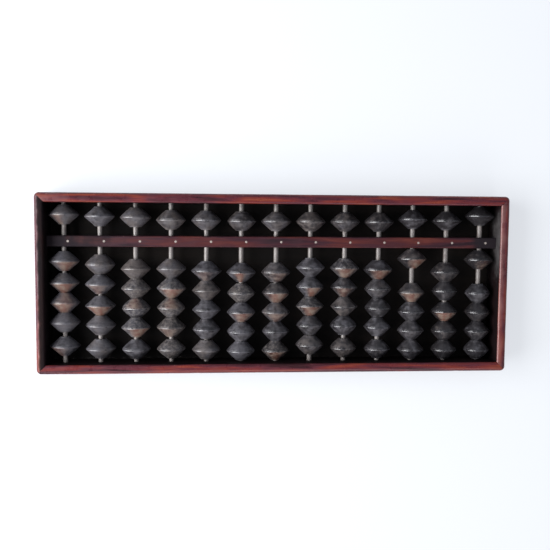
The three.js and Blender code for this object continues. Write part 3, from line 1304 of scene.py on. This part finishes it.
@dataclass
class TurnedBead:
    """One bead: two cones from flat hubs to a narrow polished rim, with a scribed line beside it.

    Attributes:
        radius: Its radius at the rim.
        height: Its length along the rod.
        hub_radius: The radius of its flat ends.
        hollow: How far its cones curve in, or out if negative.
        tone: How pale its stain is, at random and from painted light that pales the left columns and
            darkens the right ones.
        warmth: How brown its stain is.
        pitting: How pitted it is, from 0 to 1.
        patches: Where it is worn to bare wood.
    """

    radius: float
    height: float
    hub_radius: float
    hollow: float
    tone: float
    warmth: float
    pitting: float
    patches: list[WornPatch]
    bore_radius: float = 2.05 * MM
    bore_chamfer: float = 0.2 * MM
    rim_width: float = 0.62 * MM
    rim_reach: float = 1.6 * MM
    edge_round: float = 0.35 * MM
    scribe_depth: float = 0.22 * MM
    scribe_width: float = 0.42 * MM
    scribe_offset: float = 0.65 * MM
    patch_fade: float = 0.8 * MM
    most_chips: int = 4
    chip_widths: tuple[float, float] = (0.10, 0.28)
    chip_depths: tuple[float, float] = (0.1 * MM, 0.5 * MM)
    dent: float = 0.06 * MM
    pit_depth: float = 0.10 * MM
    most_oval: float = 0.010
    cone_steps: int = 9
    sides: int = 60

    def outline(self) -> list[tuple[float, float]]:
        """Lays out the outline to turn.

        Returns:
            Points as radius and place along the rod, from the near bore mouth to the far one.
        """
        return self._half(Cone.NEAR) + self._half(Cone.FAR)[::-1]

    def _half(self, cone: Cone) -> list[tuple[float, float]]:
        """Lays out one cone.

        Args:
            cone: Which one; the far cone has the scribed line.

        Returns:
            Its outline from the bore's mouth to the rim's edge.
        """
        half, rim_edge = self.height / 2, self.rim_width / 2
        mouth = [
            (self.bore_radius, half - self.bore_chamfer),
            (self.bore_radius + self.bore_chamfer, half),
            (self.hub_radius - self.edge_round, half),
            (self.hub_radius - 0.3 * self.edge_round, half - 0.25 * self.edge_round),
            (self.hub_radius, half - self.edge_round),
        ]
        start = half - self.edge_round
        slope = []
        for step in range(1, self.cone_steps + 1):
            share = step / self.cone_steps
            along = rim_edge + (start - rim_edge) * (1 - share)
            bulge = math.sin(math.pi * share) * self.hollow
            slope.append((self.hub_radius + (self.radius - self.hub_radius) * share - bulge, along))
        if cone is Cone.FAR:
            tip, before = slope[-1], slope[-2]
            run = Vector((tip[0] - before[0], tip[1] - before[1]))
            across = Vector((run.y, -run.x)).normalized() * self.scribe_depth
            centre = Vector(tip) - run.normalized() * self.scribe_offset
            lip = run.normalized() * self.scribe_width / 2
            groove = [tuple(centre - lip), tuple(centre + across), tuple(centre + lip)]
            slope[-1:-1] = groove
        return [(radius, along * cone.value) for radius, along in mouth + slope]

    def shape(self, character: random.Random) -> bmesh.types.BMesh:
        """Turns the bead about the origin, then ages it.

        Args:
            character: Draws this bead's own chips and dents.

        Returns:
            The mesh work, with "tone", "warmth", "rim", "bare" and "pitted" attributes.
        """
        shape = revolve(self.outline(), self.sides, closed=True)
        tone_and_light_layer = shape.verts.layers.float.new("tone")
        rims = shape.verts.layers.float.new("rim")
        bares = shape.verts.layers.float.new("bare")
        pits = shape.verts.layers.float.new("pitted")
        warmths = shape.verts.layers.float.new("warmth")
        seed = Vector([character.uniform(0, 400) for _ in range(3)])
        lobe, oval = character.uniform(0, math.tau), character.uniform(0.0, self.most_oval)
        chips = [
            (
                character.uniform(0, math.tau),
                character.uniform(*self.chip_widths),
                character.uniform(*self.chip_depths),
            )
            for _ in range(character.randint(1, self.most_chips))
        ]
        for vert in shape.verts:
            bearing = math.atan2(vert.co.x, vert.co.z)
            reach = math.hypot(vert.co.x, vert.co.z)
            rim = max(0.0, 1 - (self.radius - reach) / self.rim_reach)
            vert[tone_and_light_layer], vert[warmths], vert[pits], vert[rims] = self.tone, self.warmth, self.pitting, rim
            vert[bares] = self._bareness(vert.co, bearing)
            if reach > self.bore_radius + 1.5 * self.bore_chamfer:
                loss = sum(
                    depth * math.exp(-((math.remainder(bearing - at, math.tau) / width) ** 2))
                    for at, width, depth in chips
                )
                unevenness = self.dent + self.pit_depth * self.pitting
                loss = loss * rim + unevenness * noise.noise(vert.co / MM * 0.5 + seed)
                scale = 1 - oval * (0.5 + 0.5 * math.sin(2 * bearing + lobe)) - loss / reach
                vert.co.x *= scale
                vert.co.z *= scale
        return shape

    def _bareness(self, place: Vector, bearing: float) -> float:
        """Finds how bare the wood is at a point.

        Args:
            place: The point, with the bead's middle at the origin.
            bearing: Its angle round the rod, from straight up towards the right.

        Returns:
            0 where the stain is whole, and more the barer the wood is.
        """
        found = 0.0
        for patch in self.patches:
            on_cone = min(1.0, max(0.0, 0.5 + place.y * patch.cone.value / self.patch_fade))
            away = math.remainder(bearing - math.radians(patch.bearing), math.tau)
            across = math.exp(-((away / math.radians(patch.spread)) ** 2))
            found = max(found, patch.strength * on_cone * across)
        return found


@dataclass
class BeadColumns:
    """All 78 beads: one per rod beyond the beam and five on the user's side."""

    layout: Layout
    joints: list[dict]
    seed: int = 1313
    radius: float = 10.05 * MM
    rightward_loss: float = 1.1 * MM
    height: float = 12.9 * MM
    hub_radius: float = 3.75 * MM
    droop: float = 0.18 * MM
    side_play: float = 0.15 * MM
    tilt: float = math.radians(0.7)
    radius_range: tuple[float, float] = (0.975, 1.005)
    height_range: tuple[float, float] = (0.985, 1.0)
    hub_range: tuple[float, float] = (0.9, 1.1)
    hollow_range: tuple[float, float] = (-0.35 * MM, 0.15 * MM)
    # Painted light: how pale the left column's beads are painted, and how much darker towards the right.
    left_tone: float = 0.85
    rightward_painted_shade: float = 1.1
    tone_spread: float = 0.25
    warmth_spread: float = 0.35
    stray_pitting: tuple[float, ...] = (0.0, 0.0, 0.3)

    def build(self) -> None:
        """Builds every bead on the CAD body that carries it."""
        finish = BeadWood().build()
        character = random.Random(self.seed)
        for node in sorted(joint["child"] for joint in self.joints):
            words = node.split("_")
            column = int(words[2])
            kind = words[0]
            numbers = [int(n) for n in words[3].split("to")] if kind == "earth" else [0]
            first, last = numbers[0], numbers[-1]
            low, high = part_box(node)
            pitch = (high.y - low.y) / (last - first + 1)
            for number in range(first, last + 1):
                y = high.y - pitch * (number - first + 0.5)
                name = f"{kind}_bead_{column:02d}" if number == 0 else f"{kind}_bead_{column:02d}_{number}"
                self._add_bead(f"turned_{name}", node, column, number, y, finish, character)

    def _add_bead(
        self, name: str, node: str, column: int, number: int, y: float,
        finish: bpy.types.Material, character: random.Random,
    ) -> None:
        """Turns one bead, hangs it loosely on its rod and lets it ride.

        Args:
            name: The piece's name.
            node: The CAD node, and body, that it stands for or shares.
            column: Its column, from 1 at the left.
            number: 0 beyond the beam, else 1 to 5 from the beam towards the user.
            y: The middle of its place along the rod.
            finish: The beads' material.
            character: Draws its individual shape.
        """
        spot = (column, number)
        rightward = (column - 1) / (COLUMN_COUNT - 1)
        full_radius = self.radius - (self.rightward_loss * rightward if number > 1 else 0.0)
        # Painted light: beads are painted paler towards the left and darker towards the right, as the
        # window at the left lights them.
        painted_light_tone = self.left_tone - self.rightward_painted_shade * rightward
        bead = TurnedBead(
            radius=full_radius * character.uniform(*self.radius_range),
            height=self.height * character.uniform(*self.height_range),
            hub_radius=self.hub_radius * character.uniform(*self.hub_range),
            hollow=character.uniform(*self.hollow_range),
            tone=painted_light_tone + character.uniform(-self.tone_spread, self.tone_spread),
            warmth=character.uniform(-self.warmth_spread, self.warmth_spread),
            pitting=1.0 if spot in PITTED_BEADS else character.choice(self.stray_pitting),
            patches=[patch for patch in WORN_PATCHES if (patch.column, patch.number) == spot],
        )
        shape = bead.shape(character)
        nod, swing = (character.uniform(-self.tilt, self.tilt) for _ in range(2))
        x = self.layout.rod_x[column - 1] + character.uniform(-self.side_play, self.side_play)
        shift = Matrix.Translation((x, y, self.layout.rod_level - self.droop))
        lean = Euler((nod, 0.0, swing)).to_matrix().to_4x4()
        bmesh.ops.transform(shape, matrix=shift @ lean, verts=shape.verts)
        piece = add_piece(name, shape, finish, node)
        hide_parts(node)


# ---------------------------------------------------------------------------------------------
# The studio
# ---------------------------------------------------------------------------------------------


@dataclass(frozen=True)
class SoftLamp:
    """A large soft lamp that faces the abacus."""

    name: str
    place: tuple[float, float, float]
    size: tuple[float, float]
    power: float
    colour: Colour

    def hang(self) -> None:
        """Adds the lamp to the scene."""
        lamp = bpy.data.lights.new(self.name, "AREA")
        lamp.shape = "RECTANGLE"
        lamp.size, lamp.size_y = self.size
        lamp.energy = self.power
        lamp.color = self.colour
        hung = bpy.data.objects.new(self.name, lamp)
        hung.location = self.place
        hung.rotation_euler = (-Vector(self.place)).to_track_quat("-Z", "Y").to_euler()
        bpy.context.scene.collection.objects.link(hung)


@dataclass(frozen=True)
class Studio:
    """A pale table between a window at the left and a weaker one on the user's side."""

    floor_half: float = 20.0
    floor_colour: Colour = (0.20, 0.205, 0.21)
    floor_glow: Colour = (0.50, 0.515, 0.54)
    floor_roughness: float = 0.8
    sky: Colour = (0.84, 0.90, 1.0)
    sky_strength: float = 0.50
    lamps: tuple[SoftLamp, ...] = (
        SoftLamp("left_window", (-0.74, -0.02, 0.52), (0.9, 0.75), 19.0, (0.98, 0.99, 1.0)),
        SoftLamp("near_window", (0.05, -1.5, 0.9), (1.6, 0.8), 12.0, (1.0, 0.94, 0.92)),
    )
    camera_place: tuple[float, float, float] = (-0.0422, 0.0469, 0.526)
    camera_turn: tuple[float, float, float] = (-4.66, -4.61, 0.47)
    lens: float = 50.3

    def build(self) -> None:
        """Lays the floor and sets up the light and the camera."""
        self._floor()
        self._light()
        self._camera()

    def _floor(self) -> None:
        """Lays the plain pale floor, lit softly from within, at the frame's feet."""
        shape = bmesh.new()
        bmesh.ops.create_grid(shape, x_segments=1, y_segments=1, size=self.floor_half)
        mesh = bpy.data.meshes.new("floor")
        shape.to_mesh(mesh)
        shape.free()
        sheet = FinishSheet("floor_paint")
        mesh.materials.append(
            sheet.finish(
                Base_Color=(*self.floor_colour, 1.0), Roughness=self.floor_roughness,
                Emission_Color=(*self.floor_glow, 1.0), Emission_Strength=1.0,
            )
        )
        floor = bpy.data.objects.new("floor", mesh)
        bpy.context.scene.collection.objects.link(floor)
        floor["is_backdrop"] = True

    def _light(self) -> None:
        """Sets the dim even sky and hangs the lamps."""
        world = bpy.data.worlds.new("sky")
        bpy.context.scene.world = world
        world.use_nodes = True
        background = world.node_tree.nodes["Background"]
        background.inputs["Color"].default_value = (*self.sky, 1.0)
        background.inputs["Strength"].default_value = self.sky_strength
        for lamp in self.lamps:
            lamp.hang()
        view = bpy.context.scene.view_settings
        view.view_transform = "Standard"
        view.look = "Medium High Contrast"

    def _camera(self) -> None:
        """Hangs the camera over the abacus, a little left of and beyond its middle."""
        camera = bpy.data.objects.new("camera", bpy.data.cameras.new("camera"))
        camera.data.lens = self.lens
        camera.location = self.camera_place
        camera.rotation_euler = [math.radians(angle) for angle in self.camera_turn]
        bpy.context.scene.collection.objects.link(camera)
        bpy.context.scene.camera = camera


def main() -> None:
    """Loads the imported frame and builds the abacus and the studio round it."""
    logging.basicConfig(level=logging.INFO, format="%(name)s %(message)s")
    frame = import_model()
    layout = Layout.read()
    Studio().build()
    MitredFrame(layout).build()
    ReckoningBeam(layout).build()
    BackBoard(layout).build()
    BambooRods(layout).build()
    BeadColumns(layout, frame["joints"]).build()


if __name__ == "__main__":
    main()
